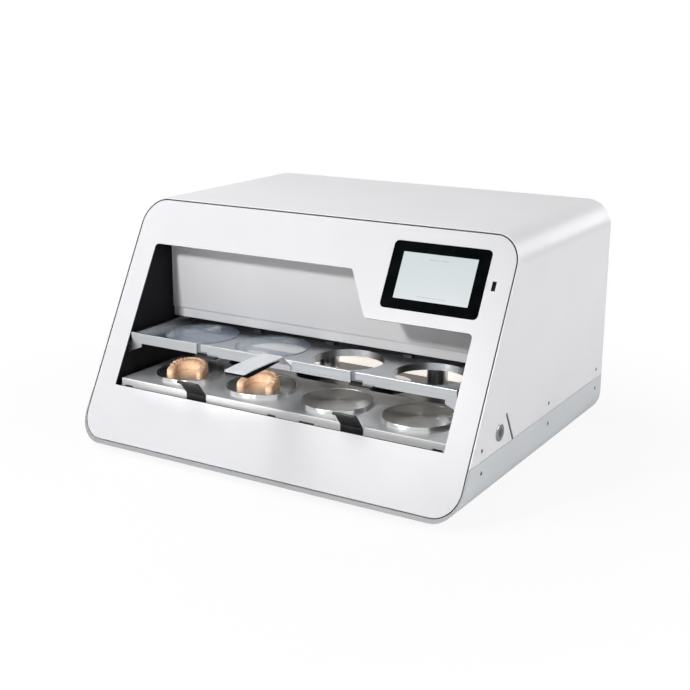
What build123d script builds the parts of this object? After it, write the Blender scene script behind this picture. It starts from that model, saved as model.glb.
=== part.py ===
from build123d import *
from math import atan2, cos, degrees, hypot, radians, sin, tan
import os

# A bench pressure former for dental sheets, with four stations side by side.
# The frame has +Z up and the front towards -Y. The origin lies on the table, under the middle
# of the machine. All sizes are in millimetres.

# Casing
casing_width = 758
casing_height = 414
machine_room = 396.14
corner_radius = 47
wall = 2.5
foot_height = 12
seam_height = 81
seam_gap = 0.8
front_lip_depth = 12

# Slanted front panel
lean = radians(28.4)
panel_front_y = -300
panel_gap = 1.5
panel_rise = 7.5
panel_thickness = 3
panel_edge = 0.6
window_margin = 44
window_low = 101.5
window_top_margin = 84.5
window_step_drop = 80
window_slant_gap = 22
window_slant_run = 45.5
window_radius = 7
window_low_radius = 2

# Display and port
display_margin = 130.5
display_top_margin = 84
display_size = (175, 116)
display_radius = 8
display_fit = 0.3
screen_size = (134, 80)
glass_thickness = 3.4
glass_edge = 0.3
screen_recess = 0.2
housing_overlap = 3.5
housing_depth = 20
housing_wall = 2
port_margin = 28.5
port_size = (7, 16)
port_fit = 0.2
port_wall = 1.1
port_tongue = (1.8, 11)
port_depth = 14
port_flange = (11, 22, 2)

# Chamber
side_room = 39
liner = 2
liner_flange = 14
liner_top_gap = 1
floor_height = 79.5
floor_sheet = 2
floor_front_gap = 6
cover_gap = 3.7
cover_fold_rise = 32.5
cover_lip_drop = 20
cover_lip_run = 3
cover_flange = 12
cover_top_gap = 3
cover_sheet = 2

# Stations
station_count = 4
tray_side_gap = 9.5
tray_end_margin = 13
foil_setback = 97.5
model_setback = 97
process_setback = 105
slide_clearance = 0.3
running_fit = 0.05
cut_room = 1

# Rails
rail_sheet = 3
rail_bearing = 9
rail_overrun = 18
gusset_setback = 1
gusset_sheet = 3
gusset_width = 30
gusset_height = 20
gusset_edge = 7

# Foil carriage
hole_radius = 63
collar_wall = 5
collar_drop = 8.5
plate_rise = 67.5
plate_thickness = 4
bar_setback = 92
bar_thickness = 6
bar_drop = 7
bar_rise = 11.5
bar_edge = 0.8
side_rim_rise = 9.5
rear_bar_setback = 77
rear_bar_depth = 5
rear_bar_rise = 3.5
catch_width = 43
catch_stem = 9
catch_step = (14, 6)
catch_recess = 2
catch_foot = 3.4
catch_reach = 5
knuckle_radius = 3.2
knuckle_length = 16
foil_radius = 68
foil_thickness = 1
grip_half_width = 20
grip_length = 100
grip_reach = 135
grip_rise = 22.5
grip_depth = 8.5
grip_skin = 2
grip_drop = 1.5
grip_bend = 26
grip_corner = 4
bracket_sheet = 2
bracket_run = 23
bracket_overlap = 14

# Model carriage
model_rise = 38
model_half_depth = 86
model_sheet = 4
model_lip_height = 14
model_rear_lip_height = 10
lip_sheet = 3
lip_bend = 1.5
lip_notch_rise = 2.5
end_notch_inset = 16
end_notch_width = 18
middle_notches = [(0, 17), (70, 30)]
disc_radius = 62.5
disc_rise = 6
disc_chamfer = 0.7
disc_recess = 0.3
disc_rim = 2.5
spigot_radius = 50
spigot_depth = 6
spigot_fit = 0.08
pull_half_width = 20
pull_sheet = 3
pull_drop = 18
pull_shoulder = 0.5
pull_top = (20, 25)
pull_tip = (26.5, 27)
pull_curl = 2.6
cast_radius = 36
cast_inner = 21
cast_leg = 24
cast_height = 14.5
cast_shift = (2, -9)
cast_turn = (17, 6)
cast_draft = 5
teeth_count = 13
teeth_arc = (-20, 200)
tooth_radius = 4
tooth_rise = 6
tooth_offset = 1
tooth_taper = 18

# Rear baffle
baffle_setback = 51
baffle_sheet = 1.5
baffle_gap = 4

# Heater carriage
heater_gap = 10
heater_height = 35
heater_length = 170
heater_stroke = 178
heater_side_gap = 25.5
heater_shell = 3
heater_roof = 18
emitter_radius = 60
emitter_thickness = 6
rod_inset = 12.5
rod_radius = 6
bearing_length = 70
bearing_half = 12.5
bearing_wall = 3
rod_block_depth = 14
rod_block_side = 8
rod_front_gap = 7
rod_rear_gap = 15

# Pressure head
bell_gap = 10
bell_radius = 70
bell_wall = 7
bell_height = 58
beam_thickness = 10
head_rod_radius = 8
head_cylinder_radius = 26
head_cylinder_wall = 5
head_cylinder_gap = 1
crossbeam_drop = 16
crossbeam_thickness = 8
crossbeam_depth = 60
piston_thickness = 10
piston_gap = 1

# Lift frame under the floor
lift_gap = 2
lift_thickness = 10
lift_side_margin = 54
lift_front_margin = 37
lift_back_margin = 133
lift_rod_radius = 8
lift_rod_room = 1
lift_head_radius = 40
lift_head_thickness = 12
lift_head_gap = 1.5
lift_pull_x = 120
lift_pull_setback = 113
lift_pull_radius = 6
lift_piston_thickness = 8
lift_cylinder_radius = 20
lift_cylinder_wall = 4
lift_cylinder_room = 5.5
lift_stop_gap = 1

# Sides of the casing
front_screw_setback = 43.3
middle_screw_inset = 269.5
rear_screw_inset = 32.5
hood_screw_rise = 17.5
base_screw_drop = 19.5
screw_radius = 2
screw_play = 0.1
screw_head_radius = 3.8
screw_head_play = 0.3
screw_head_depth = 1.8
screw_sink = 0.2
screw_length = 6
screw_socket = 1.3
key_setback = 107.9
key_rise = 28.4
key_ring_radius = 14.5
key_ring_proud = 2
key_ring_chamfer = 0.8
key_barrel_radius = 11.5
key_barrel_fit = 0.3
key_barrel_length = 27
key_barrel_floor = 3
key_nut_wall = 4
key_nut_thickness = 6
key_rotor_radius = 7.5
key_rotor_sink = 0.4
key_slot = (1.8, 9)
key_slot_depth = 8
side_slot_gap = 26.8
side_slot_run = 29.3
side_slot_rise = 50.6
side_slot_drop = 0.3
side_slot_width = 5.8
slot_liner_margin = 9
slot_liner_sheet = 2
strip_sheet = 2
strip_drop = 31
strip_rise = 29
strip_front_gap = 10
strip_notch_drop = 6
strip_notch_margin = 20

# Back panel
back_sheet = 2
back_fit = 0.3
vent_columns = 14
vent_rows = 3
vent_size = (24, 3)
vent_pitch = (34, 10)
vent_x = -60
vent_drop = 71
fan_inset = 129
fan_drop = 96
fan_size = 80
fan_corner = 5
fan_depth = 24
fan_wall = 3
fan_hub_radius = 16
fan_pin_radius = 2.5
fan_spoke = 4
fan_play = 1
fan_blades = 7
fan_blade = 2
fan_pitch = 40
fan_slot_length = 58
fan_slot_width = 4
fan_slot_pitch = 9
fan_slot_count = 7
inlet_inset = 129
inlet_rise = 38.5
inlet_size = (50, 58)
inlet_rim = 4
inlet_fit = 0.2
inlet_depth = 26
inlet_flange = 2
inlet_corner = 4
socket_size = (26, 18)
socket_corner = 3
socket_depth = 16
socket_drop = 12
socket_pin = (2, 5)
socket_pin_pitch = 7
rocker_size = (21, 13)
rocker_rise = 17
rocker_fit = 0.5
rocker_pocket = 12
rocker_depth = 5
rocker_low = 0.8
rocker_high = 3.2
coupling_inset = 129
port_rise = 32.5
coupling_radius = 7
coupling_play = 0.1
coupling_bore = 4
coupling_nut = 20
coupling_nut_thickness = 5
coupling_reach = 14
silencer_gap = 40
silencer_radius = 8
silencer_neck = 6
silencer_reach = 12
silencer_round = 3
back_screw_margin = 34
back_screw_end = 26

# Chassis and stores
tube_size = 30
chassis_inset = 21.5
chassis_height = 40
cross_front_setback = 31
cross_back_inset = 77
foot_radius = 15
foot_round = 2
foot_pocket = (4, 3)
foot_side_margin = 79
foot_front_margin = 89
foot_back_margin = 62
store_gap = 57
supply_side_gap = 7.5
supply_size = (160, 116, 70)
supply_round = 3
tank_radius = 42
tank_half_length = 120
tank_round = 12
tank_inset = 82
tank_lift = 6
saddle_place = 72
saddle_half_width = 8
saddle_half_depth = 29
valve_side_gap = 32.5
valve_rear_gap = 25
valve_size = (130, 87, 45)
valve_count = 5
valve_fill = 0.36
valve_rise = 28
valve_front_margin = 8
valve_back_margin = 14
board_setback = 3
board_rise = 50.5
board_size = (190, 200)
board_sheet = 1.6
board_standoff = 6
board_stud_radius = 3
board_stud_inset = 8
chip_count = 5
chip_pitch = 34
chip_size = (9, 20, 40)
chip_margin = (22, 30)

# Heights worked out from the sizes above
casing_low = foot_height
casing_high = casing_low + casing_height
casing_middle = (casing_low + casing_high) / 2
inner_low = casing_low + wall
inner_high = casing_high - wall
inner_half_width = casing_width / 2 - wall
seam = casing_low + seam_height
floor_low = floor_height - floor_sheet
chassis_high = inner_low + chassis_height
model_top = floor_height + model_rise
plate_height = model_top + plate_rise
cover_fold_height = plate_height + cover_fold_rise

# Front panel: lengths along the slope run from its lower edge
panel_low = casing_low + panel_rise
panel_high = inner_high - panel_gap
panel_length = (panel_high - panel_low) / cos(lean)
panel_half_width = inner_half_width - panel_gap
panel_radius = corner_radius - wall - panel_gap
display_x = panel_half_width - display_margin
display_up = panel_length - display_top_margin
port_x = panel_half_width - port_margin
housing_size = [side + 2 * housing_overlap for side in display_size]
housing_high = display_up + housing_size[1] / 2
window_half = panel_half_width - window_margin
window_high = panel_length - window_top_margin
window_step_low = window_high - window_step_drop
window_slant_x = display_x - display_size[0] / 2 - window_slant_gap
window_step_x = window_slant_x - window_slant_run


def front_at(height):
    """Where the front plane lies at a height."""
    return panel_front_y + (height - panel_low) * tan(lean)


# Places in the chamber, from the front backwards
chamber_half_width = inner_half_width - side_room
tray_half_width = chamber_half_width - tray_side_gap
station_pitch = 2 * (tray_half_width - tray_end_margin) / station_count
station_x = [(i - (station_count - 1) / 2) * station_pitch for i in range(station_count)]
pair_x = [-station_pitch, station_pitch]
housing_back = (panel_thickness + housing_depth) * cos(lean)
cover_front_y = panel_front_y + housing_high * sin(lean) + housing_back + cover_gap
cover_lip_height = cover_fold_height - cover_lip_drop
casing_back = cover_front_y + machine_room
process_y = cover_front_y + process_setback
foil_row_y = front_at(plate_height) + foil_setback
model_row_y = front_at(model_top) + model_setback
bar_front_y = foil_row_y - bar_setback
bar_back_y = bar_front_y + bar_thickness
bar_low = plate_height - bar_drop
bar_high = plate_height + bar_rise
rear_bar_y = foil_row_y + rear_bar_setback
plate_low = plate_height - plate_thickness
grip_front_y = bar_front_y - grip_reach
grip_back_y = grip_front_y + grip_length
grip_top = plate_height + grip_rise
bracket_knee_y = bar_front_y - bracket_run
model_front_y = model_row_y - model_half_depth
model_back_y = model_row_y + model_half_depth
model_lip_low = model_top - model_lip_height
rail_back_y = process_y + rear_bar_setback + rail_overrun

# Places behind the cover
baffle_y = process_y + model_half_depth + baffle_setback
heater_y = process_y + heater_stroke
heater_low = bar_high + heater_gap
heater_high = heater_low + heater_height
heater_half_width = chamber_half_width - heater_side_gap
rod_height = (heater_low + heater_high) / 2
rod_x = chamber_half_width - rod_inset
rod_front = cover_front_y + cover_lip_run + cover_flange + rod_front_gap
rod_rear = casing_back - rod_rear_gap
bell_low = heater_high + bell_gap
bell_high = bell_low + bell_height
crossbeam_low = inner_high - crossbeam_drop
lift_low = inner_low + lift_gap
lift_high = lift_low + lift_thickness
lift_head_low = model_top - model_rear_lip_height - lift_head_gap - lift_head_thickness
lift_pull_y = process_y + lift_pull_setback
lift_stroke = floor_low - lift_high - lift_stop_gap

# Places on the sides and the back
screw_rows = [
    front_at(seam) + front_screw_setback,
    casing_back - middle_screw_inset,
    casing_back - rear_screw_inset,
]
hood_screw_height = seam + hood_screw_rise
base_screw_height = seam - base_screw_drop
key_y = front_at(seam) + key_setback
key_height = seam + key_rise
side_slot_top = (key_y + side_slot_gap, seam + side_slot_rise)
side_slot_bottom = (side_slot_top[0] + side_slot_run, seam - side_slot_drop)
vent_place = (vent_x, casing_high - vent_drop)
fan_place = (casing_width / 2 - fan_inset, casing_high - fan_drop)
inlet_x = inlet_inset - casing_width / 2
inlet_place = (inlet_x, floor_height + inlet_rise)
coupling_x = casing_width / 2 - coupling_inset
coupling_place = (coupling_x, floor_height + port_rise)
silencer_place = (coupling_x - silencer_gap, floor_height + port_rise)
back_screw_x = casing_width / 2 - back_screw_margin
back_screw_z = (casing_high - back_screw_end, seam - seam_gap)
back_screw_places = [(x, z) for x in (-back_screw_x, 0, back_screw_x) for z in back_screw_z]
foot_x = casing_width / 2 - foot_side_margin
foot_y = (front_at(casing_low) + foot_front_margin, casing_back - foot_back_margin)
chassis_rail_x = chamber_half_width - chassis_inset
cross_tube_y = (
    front_at(chassis_high) + cross_front_setback + tube_size / 2,
    casing_back - cross_back_inset,
)

front_plane = Plane(
    origin=(0, panel_front_y, panel_low),
    x_dir=(1, 0, 0),
    z_dir=(0, -cos(lean), sin(lean)),
)
panel_back_plane = front_plane.offset(-panel_thickness)
rear_plane = Plane.XZ.offset(-casing_back)
back_sheet_plane = Plane.XZ.offset(-casing_back + back_sheet)


def block(low, high, mode=Mode.ADD):
    """A block between two opposite corners, given in any order."""
    size = [abs(b - a) for a, b in zip(low, high)]
    middle = tuple((a + b) / 2 for a, b in zip(low, high))
    with Locations(middle):
        Box(*size, mode=mode)


def upright(x, y, low, high, radius, mode=Mode.ADD):
    """A round bar standing between two heights."""
    with Locations((x, y, (low + high) / 2)):
        Cylinder(radius, high - low, mode=mode)


def level(middle, length, radius, rotation, mode=Mode.ADD):
    """A round bar lying along X or Y."""
    with Locations(middle):
        Cylinder(radius, length, rotation=rotation, mode=mode)


def bent_sheet(points, thickness, low_x, high_x, bend=2.5):
    """Sheet metal folded along (y, z) points, its thickness on the left of the way they run."""
    with BuildSketch(Plane.YZ.offset(low_x)) as outline:
        with BuildLine():
            FilletPolyline(*points, radius=bend)
            offset(amount=thickness, side=Side.LEFT)
        make_face()
    extrude(outline.sketch, amount=high_x - low_x)


def side_planes(side, heights):
    """Planes on the casing's side at each screw place, facing outwards."""
    return [
        Plane(origin=(side * casing_width / 2, y, z), z_dir=(side, 0, 0))
        for y in screw_rows
        for z in heights
    ]


def save(part, label):
    """Label a finished piece and write it as one STEP file."""
    part.label = label
    export_step(part, f"parts/{label}.step")


along_x = (0, 90, 0)
along_y = (90, 0, 0)
os.makedirs("parts", exist_ok=True)

# Hood and base: one sleeve of folded sheet, slanted at the front and parted at a seam.
with BuildPart() as sleeve:
    with BuildSketch(rear_plane):
        with Locations((0, casing_middle)):
            RectangleRounded(casing_width, casing_height, corner_radius)
            RectangleRounded(
                casing_width - 2 * wall,
                casing_height - 2 * wall,
                corner_radius - wall,
                mode=Mode.SUBTRACT,
            )
    extrude(amount=casing_back - front_at(casing_low))
    split(bisect_by=front_plane, keep=Keep.BOTTOM)

with BuildPart() as hood_shell:
    add(sleeve.part)
    split(bisect_by=Plane.XY.offset(seam + seam_gap / 2), keep=Keep.TOP)
    slot_run = (side_slot_bottom[0] - side_slot_top[0], side_slot_bottom[1] - side_slot_top[1])
    slot_middle = (side_slot_top[0] + slot_run[0] / 2, side_slot_top[1] + slot_run[1] / 2)
    with BuildSketch(Plane.YZ.offset(casing_width / 2)):
        with Locations((key_y, key_height)):
            Circle(key_barrel_radius + key_barrel_fit)
        with Locations(slot_middle):
            SlotCenterToCenter(
                hypot(*slot_run), side_slot_width, rotation=degrees(atan2(slot_run[1], slot_run[0]))
            )
    extrude(amount=-2 * wall, mode=Mode.SUBTRACT)
    for side in (-1, 1):
        with Locations(*side_planes(side, [hood_screw_height])):
            CounterSinkHole(screw_radius, screw_head_radius, depth=2 * wall)
save(hood_shell.part, "hood_shell")

# The base's front rim follows the panel's lower edge and corners at the panel's gap.
with BuildPart() as front_lip:
    with BuildSketch(rear_plane):
        with Locations((0, casing_middle)):
            RectangleRounded(casing_width - wall, casing_height - wall, corner_radius - wall / 2)
        with Locations((0, (panel_low + panel_high) / 2)):
            RectangleRounded(
                2 * (panel_half_width + panel_gap),
                panel_high - panel_low + 2 * panel_gap,
                panel_radius + panel_gap,
                mode=Mode.SUBTRACT,
            )
    extrude(amount=casing_back - front_at(casing_low))
    split(bisect_by=front_plane, keep=Keep.BOTTOM)
    split(bisect_by=front_plane.offset(-front_lip_depth), keep=Keep.TOP)
    split(bisect_by=Plane.XY.offset(seam - seam_gap / 2), keep=Keep.BOTTOM)

with BuildPart() as base_shell:
    add(sleeve.part)
    split(bisect_by=Plane.XY.offset(seam - seam_gap / 2), keep=Keep.BOTTOM)
    add(front_lip.part)
    for side in (-1, 1):
        with Locations(*side_planes(side, [base_screw_height])):
            CounterSinkHole(screw_radius, screw_head_radius, depth=2 * wall)
    for x in (-foot_x, foot_x):
        for y in foot_y:
            upright(x, y, casing_low - wall, casing_low + 2 * wall, screw_radius, Mode.SUBTRACT)
save(base_shell.part, "base_shell")

# Front panel: a flat white sheet with the window, the display opening and the port opening.
with BuildPart() as front_panel:
    with BuildSketch(rear_plane):
        with Locations((0, (panel_low + panel_high) / 2)):
            RectangleRounded(2 * panel_half_width, panel_high - panel_low, panel_radius)
    extrude(amount=casing_back - front_at(casing_low))
    split(bisect_by=front_plane, keep=Keep.BOTTOM)
    split(bisect_by=panel_back_plane, keep=Keep.TOP)
    with BuildSketch(front_plane) as openings:
        with BuildLine():
            Polyline(
                (-window_half, window_low),
                (window_half, window_low),
                (window_half, window_step_low),
                (window_slant_x, window_step_low),
                (window_step_x, window_high),
                (-window_half, window_high),
                close=True,
            )
        make_face()
        corners = openings.vertices().group_by(Axis.Y)
        fillet([corner for row in corners[1:] for corner in row], radius=window_radius)
        fillet(openings.vertices().group_by(Axis.Y)[0], radius=window_low_radius)
        with Locations((display_x, display_up)):
            RectangleRounded(
                display_size[0] + 2 * display_fit,
                display_size[1] + 2 * display_fit,
                display_radius + display_fit,
            )
        with Locations((port_x, display_up)):
            Rectangle(*port_size)
    extrude(amount=2 * panel_thickness, both=True, mode=Mode.SUBTRACT)
    outward = Axis((0, 0, 0), front_plane.z_dir)
    fillet(front_panel.faces().sort_by(outward)[-1].edges(), radius=panel_edge)
save(front_panel.part, "front_panel")

# Display: a black glass frame, the lit screen inside it and the housing behind the panel.
glass_plane = panel_back_plane.offset(glass_thickness)
with BuildPart() as display_bezel:
    with BuildSketch(glass_plane):
        with Locations((display_x, display_up)):
            RectangleRounded(*display_size, display_radius)
            Rectangle(*screen_size, mode=Mode.SUBTRACT)
    extrude(amount=-glass_thickness)
    fillet(display_bezel.faces().sort_by(outward)[-1].outer_wire().edges(), radius=glass_edge)
save(display_bezel.part, "display_bezel")

with BuildPart() as display_screen:
    with BuildSketch(glass_plane.offset(-screen_recess)):
        with Locations((display_x, display_up)):
            Rectangle(*screen_size)
    extrude(amount=screen_recess - glass_thickness)
save(display_screen.part, "display_screen")

with BuildPart() as display_housing:
    with BuildSketch(panel_back_plane):
        with Locations((display_x, display_up)):
            Rectangle(*housing_size)
    extrude(amount=-housing_depth)
    with BuildSketch(panel_back_plane.offset(-housing_wall)):
        with Locations((display_x, display_up)):
            Rectangle(*[side - 2 * housing_wall for side in housing_size])
    extrude(amount=-(housing_depth - 2 * housing_wall), mode=Mode.SUBTRACT)
save(display_housing.part, "display_housing")

# Port: a black socket with its tongue, seated on the back of the panel by a flange.
with BuildPart() as usb_port:
    port_front_plane = front_plane.offset(-port_fit)
    with BuildSketch(port_front_plane):
        with Locations((port_x, display_up)):
            Rectangle(*[side - 2 * port_fit for side in port_size])
    extrude(amount=-port_depth)
    with BuildSketch(panel_back_plane):
        with Locations((port_x, display_up)):
            Rectangle(*port_flange[:2])
    extrude(amount=-port_flange[2])
    with BuildSketch(port_front_plane):
        with Locations((port_x, display_up)):
            Rectangle(*[side - 2 * (port_fit + port_wall) for side in port_size])
            Rectangle(*port_tongue, mode=Mode.SUBTRACT)
    extrude(amount=port_wall - port_depth, mode=Mode.SUBTRACT)
save(usb_port.part, "usb_port")

# Chamber: black side liners with a front flange, a floor and the pale cover at the back.
for side, name in ((-1, "left"), (1, "right")):
    with BuildPart() as inner_wall:
        near = side * chamber_half_width
        away = side * (chamber_half_width + liner)
        block(
            (near, front_at(casing_low), chassis_high),
            (away, casing_back - back_sheet, inner_high - liner_top_gap),
        )
        split(bisect_by=panel_back_plane, keep=Keep.BOTTOM)
        flange_x = side * (chamber_half_width + liner + liner_flange / 2)
        with BuildSketch(panel_back_plane):
            with Locations((flange_x, (window_low + window_step_low) / 2)):
                Rectangle(liner_flange, window_step_low - window_low)
        extrude(amount=-liner)
    save(inner_wall.part, f"{name}_inner_wall")

with BuildPart() as chamber_floor:
    block(
        (-chamber_half_width, front_at(floor_height) + floor_front_gap, floor_low),
        (chamber_half_width, casing_back - back_sheet, floor_height),
    )
    for x in station_x:
        with Locations((x, process_y, floor_height)):
            Hole(lift_rod_radius + lift_rod_room)
    for x in (-lift_pull_x, lift_pull_x):
        with Locations((x, lift_pull_y, floor_height)):
            Hole(lift_pull_radius + lift_rod_room)
save(chamber_floor.part, "chamber_floor")

with BuildPart() as rear_cover:
    cover_top = inner_high - cover_top_gap
    cover_points = [
        (cover_front_y + cover_lip_run + cover_flange, cover_lip_height),
        (cover_front_y + cover_lip_run, cover_lip_height),
        (cover_front_y + cover_lip_run, cover_fold_height - cover_lip_run),
        (cover_front_y, cover_fold_height),
        (cover_front_y, cover_top),
        (cover_front_y + cover_flange, cover_top),
    ]
    bent_sheet(cover_points[::-1], cover_sheet, -chamber_half_width, chamber_half_width)
save(rear_cover.part, "rear_cover")

# Chassis: two long tubes and two cross tubes that carry the floor and the chamber liners.
with BuildPart() as chassis_frame:
    half_tube = tube_size / 2
    for x in (-chassis_rail_x, chassis_rail_x):
        block(
            (x - half_tube, cross_tube_y[0], inner_low),
            (x + half_tube, cross_tube_y[1], chassis_high),
        )
        for y in cross_tube_y:
            block(
                (x - half_tube, y - half_tube, inner_low), (x + half_tube, y + half_tube, floor_low)
            )
    for y in cross_tube_y:
        block(
            (-chassis_rail_x, y - half_tube, inner_low),
            (chassis_rail_x, y + half_tube, chassis_high),
        )
        block(
            (-chamber_half_width - liner, y - half_tube, inner_low + chassis_height / 2),
            (chamber_half_width + liner, y + half_tube, chassis_high),
        )
save(chassis_frame.part, "chassis_frame")

# Joining strips: they lie behind the seam and take the screws of hood and base.
with BuildPart() as join_strips:
    for side in (-1, 1):
        block(
            (
                side * (inner_half_width - strip_sheet),
                front_at(seam + strip_rise) + strip_front_gap,
                seam - strip_drop,
            ),
            (side * inner_half_width, casing_back - back_sheet, seam + strip_rise),
        )
    block(
        (
            inner_half_width - strip_sheet - cut_room,
            key_y - strip_notch_margin,
            seam - strip_notch_drop,
        ),
        (
            inner_half_width + cut_room,
            side_slot_bottom[0] + strip_notch_margin,
            seam + strip_rise + cut_room,
        ),
        Mode.SUBTRACT,
    )
    for side in (-1, 1):
        with Locations(*side_planes(side, [hood_screw_height, base_screw_height])):
            Hole(screw_radius, depth=wall + 2 * strip_sheet)
save(join_strips.part, "join_strips")

# Casing screws: countersunk ones along both sides, and pan heads on the back panel.
with BuildPart() as casing_screws:
    for side in (-1, 1):
        for place in side_planes(side, [hood_screw_height, base_screw_height]):
            head = place.offset(-screw_sink)
            with BuildSketch(head):
                Circle(screw_head_radius - screw_head_play)
            with BuildSketch(head.offset(-screw_head_depth)):
                Circle(screw_radius - screw_play)
            loft()
            with BuildSketch(head):
                Circle(screw_radius - screw_play)
            extrude(amount=-screw_length)
            with BuildSketch(head):
                RegularPolygon(screw_socket, 6)
            extrude(amount=-screw_socket, mode=Mode.SUBTRACT)
    with BuildSketch(rear_plane):
        with Locations(*back_screw_places):
            Circle(screw_head_radius)
    extrude(amount=-screw_head_depth)
    with BuildSketch(rear_plane):
        with Locations(*back_screw_places):
            Circle(screw_radius - screw_play)
    extrude(amount=screw_length)
save(casing_screws.part, "casing_screws")

# Slot in the right side: a black plate closes it from inside.
with BuildPart() as side_slot_liner:
    block(
        (inner_half_width - slot_liner_sheet, side_slot_top[0] - slot_liner_margin, seam + seam_gap / 2),
        (
            inner_half_width,
            side_slot_bottom[0] + slot_liner_margin,
            side_slot_top[1] + slot_liner_margin,
        ),
    )
save(side_slot_liner.part, "side_slot_liner")

# Key switch: a chrome ring and barrel in the right side, with a turning core.
key_plane = Plane(origin=(casing_width / 2, key_y, key_height), x_dir=(0, 1, 0), z_dir=(1, 0, 0))
key_depth = key_ring_proud + key_barrel_length - key_barrel_floor
with BuildPart() as key_lock_body:
    with BuildSketch(key_plane):
        Circle(key_ring_radius)
    extrude(amount=key_ring_proud)
    chamfer(key_lock_body.edges().sort_by(Axis.X)[-1], key_ring_chamfer)
    with BuildSketch(key_plane):
        Circle(key_barrel_radius)
    extrude(amount=-key_barrel_length)
    with BuildSketch(key_plane.offset(-wall)):
        RegularPolygon(key_barrel_radius + key_nut_wall, 6)
    extrude(amount=-key_nut_thickness)
    with BuildSketch(key_plane.offset(key_ring_proud)):
        Circle(key_rotor_radius + running_fit)
    extrude(amount=-key_depth, mode=Mode.SUBTRACT)
save(key_lock_body.part, "key_lock_body")

with BuildPart() as key_rotor:
    rotor_plane = key_plane.offset(key_ring_proud - key_rotor_sink)
    with BuildSketch(rotor_plane):
        Circle(key_rotor_radius)
    extrude(amount=2 * key_rotor_sink - key_depth)
    with BuildSketch(rotor_plane):
        Rectangle(*key_slot)
    extrude(amount=-key_slot_depth, mode=Mode.SUBTRACT)
save(key_rotor.part, "key_rotor")

# Feet: four rubber pads under the base.
with BuildPart() as rubber_feet:
    for x in (-foot_x, foot_x):
        for y in foot_y:
            upright(x, y, 0, foot_height, foot_radius)
    fillet(rubber_feet.edges().group_by(Axis.Z)[0], radius=foot_round)
    for x in (-foot_x, foot_x):
        for y in foot_y:
            upright(x, y, -foot_pocket[1], foot_pocket[1], foot_pocket[0], Mode.SUBTRACT)
save(rubber_feet.part, "rubber_feet")

# Rails: on each side one for the foil carriage, with its front gusset, and one for the models.
with BuildPart() as tray_rails:
    rail_top = bar_low - slide_clearance
    gusset_y = bar_front_y + gusset_setback
    for side in (-1, 1):
        edge = side * chamber_half_width
        ledge = side * (tray_half_width - rail_bearing)
        gusset_x = edge - side * gusset_width
        block((edge, gusset_y, rail_top - rail_sheet), (ledge, rail_back_y, rail_top))
        with BuildSketch(Plane.XZ.offset(-gusset_y)) as gusset:
            with BuildLine():
                Polyline(
                    (edge, rail_top),
                    (gusset_x, rail_top),
                    (gusset_x, rail_top - gusset_edge),
                    (edge, rail_top - gusset_height),
                    close=True,
                )
            make_face()
        extrude(gusset.sketch, amount=-gusset_sheet)
        block(
            (edge, model_front_y + gusset_setback, floor_height),
            (ledge, rail_back_y, model_lip_low - slide_clearance),
        )
save(tray_rails.part, "tray_rails")

# Rear baffle: a pale lit panel behind the process station, which hides the stores.
with BuildPart() as rear_baffle:
    block(
        (-chamber_half_width, baffle_y, floor_height),
        (chamber_half_width, baffle_y + baffle_sheet, heater_low - baffle_gap),
    )
save(rear_baffle.part, "rear_baffle")

# Foil carriage: a tray with four open collars, slotted front bar, side rims and rear bar.
with BuildPart() as foil_tray:
    block(
        (-tray_half_width, bar_front_y, plate_low), (tray_half_width, rear_bar_y, plate_height)
    )
    block((-tray_half_width, bar_front_y, bar_low), (tray_half_width, bar_back_y, bar_high))
    block(
        (-tray_half_width, rear_bar_y - rear_bar_depth, bar_low),
        (tray_half_width, rear_bar_y, plate_height + rear_bar_rise),
    )
    for side in (-1, 1):
        block(
            (side * (tray_half_width - bar_thickness), bar_front_y, bar_low),
            (side * tray_half_width, rear_bar_y, plate_height + side_rim_rise),
        )
    fillet(foil_tray.edges().filter_by(Axis.X).group_by(Axis.Z)[-1], radius=bar_edge)
    for x in station_x:
        upright(x, foil_row_y, plate_low - collar_drop, plate_height, hole_radius + collar_wall)
    for x in station_x:
        with Locations((x, foil_row_y, plate_height)):
            Hole(hole_radius)
    for x in pair_x:
        stem_x = x - catch_width / 2
        step_x = stem_x + catch_stem
        block(
            (stem_x, bar_front_y - cut_room, bar_low - cut_room),
            (step_x, bar_back_y, bar_high + cut_room),
            Mode.SUBTRACT,
        )
        block(
            (step_x, bar_front_y - cut_room, bar_low - cut_room),
            (step_x + catch_step[0], bar_back_y, bar_low + catch_step[1]),
            Mode.SUBTRACT,
        )
save(foil_tray.part, "foil_tray")

with BuildPart() as frame_catches:
    for x in pair_x:
        stem_x = x - catch_width / 2
        step_x = stem_x + catch_stem
        block(
            (stem_x, bar_front_y + catch_recess, bar_low - catch_foot),
            (step_x, bar_back_y, bar_high),
        )
        block(
            (step_x, bar_front_y + catch_recess, bar_low - catch_foot),
            (step_x + catch_step[0], bar_back_y, bar_low + catch_step[1]),
        )
        block(
            (stem_x, bar_front_y - catch_reach, bar_low - catch_foot),
            (stem_x + catch_width, bar_back_y, bar_low),
        )
save(frame_catches.part, "frame_catches")

with BuildPart() as tray_knuckles:
    knuckle_y = rear_bar_y - rear_bar_depth - knuckle_radius
    knuckle_z = plate_height + knuckle_radius
    half_knuckle = knuckle_length / 2
    for x in [0, *pair_x]:
        level((x, knuckle_y, knuckle_z), knuckle_length, knuckle_radius, along_x)
        block(
            (x - half_knuckle, knuckle_y - knuckle_radius, plate_height),
            (x + half_knuckle, knuckle_y + knuckle_radius, knuckle_z),
        )
save(tray_knuckles.part, "tray_knuckles")

for number in (1, 2):
    with BuildPart() as foil_sheet:
        foil_x = station_x[number - 1]
        upright(foil_x, foil_row_y, plate_height, plate_height + foil_thickness, foil_radius)
    save(foil_sheet.part, f"foil_sheet_{number}")

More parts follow.
